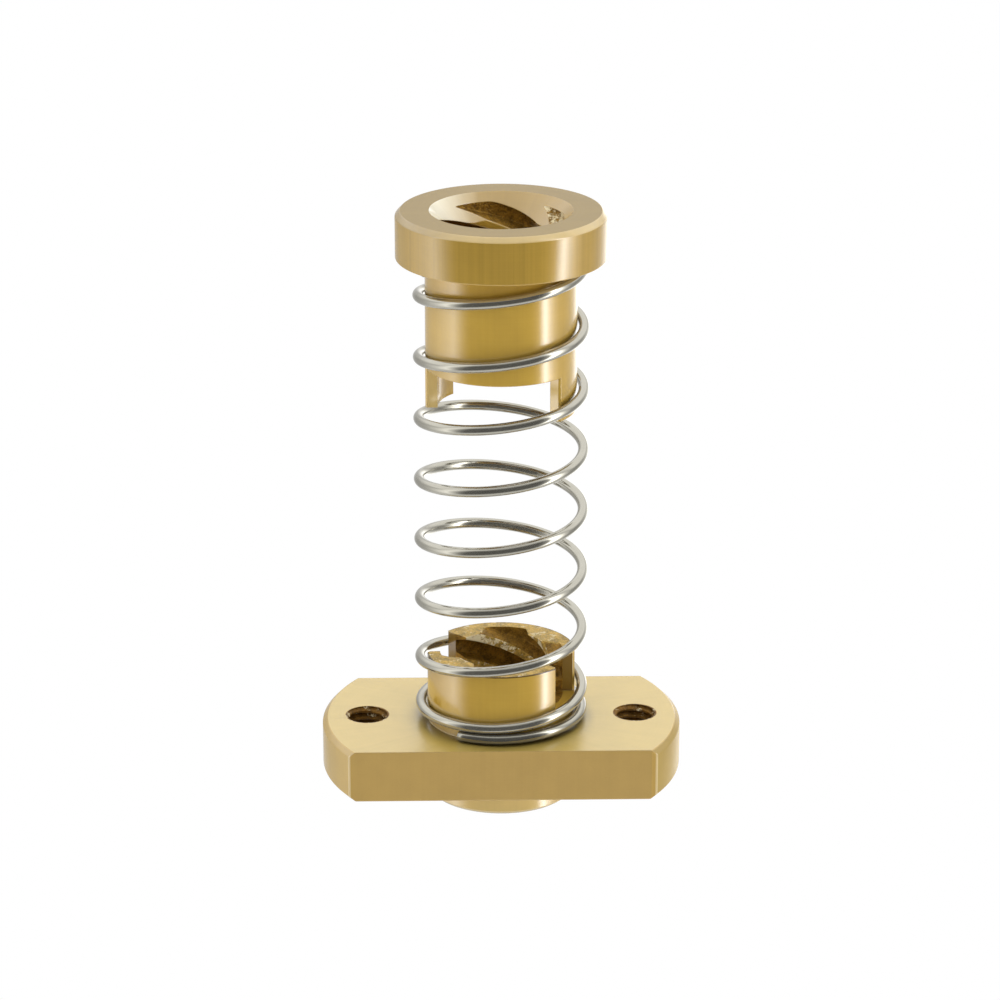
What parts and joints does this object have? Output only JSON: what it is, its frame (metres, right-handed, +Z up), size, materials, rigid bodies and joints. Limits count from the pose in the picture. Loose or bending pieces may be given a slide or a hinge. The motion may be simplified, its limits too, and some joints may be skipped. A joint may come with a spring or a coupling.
{
  "type": "anti-backlash lead screw nut",
  "caption": "Spring-loaded anti-backlash lead screw nut: a flanged nut with cut sides, a coil spring and a collar nut whose legs slide down into the flanged nut's notches.",
  "frame": {"origin": "centre of the lower face of the locating stub, on the lead screw's axis", "axes": "+Z up along the lead screw's axis, from the stub to the collar; +X along the line of the two fixing holes; -Y to the front flat of the flange"},
  "size_m": [0.024, 0.0136, 0.0402],
  "materials": {
    "flanged_nut_brass": "turned brass with a milled front and back",
    "spring_steel": "drawn bright steel wire",
    "counter_nut_brass": "turned brass"
  },
  "bodies": {
    "base": {"flanged_nut": "flanged_nut_brass", "spring": "spring_steel"},
    "counter": {"counter_nut": "counter_nut_brass"}
  },
  "joints": [
    {"name": "counter_slide", "type": "slide", "parent": "base", "child": "counter", "axis": [0, 0, 1], "range_m": [-0.0199, 0], "stiffness_N_per_m": 227, "springref_m": 0.0004, "deforming": ["spring"]}
  ]
}
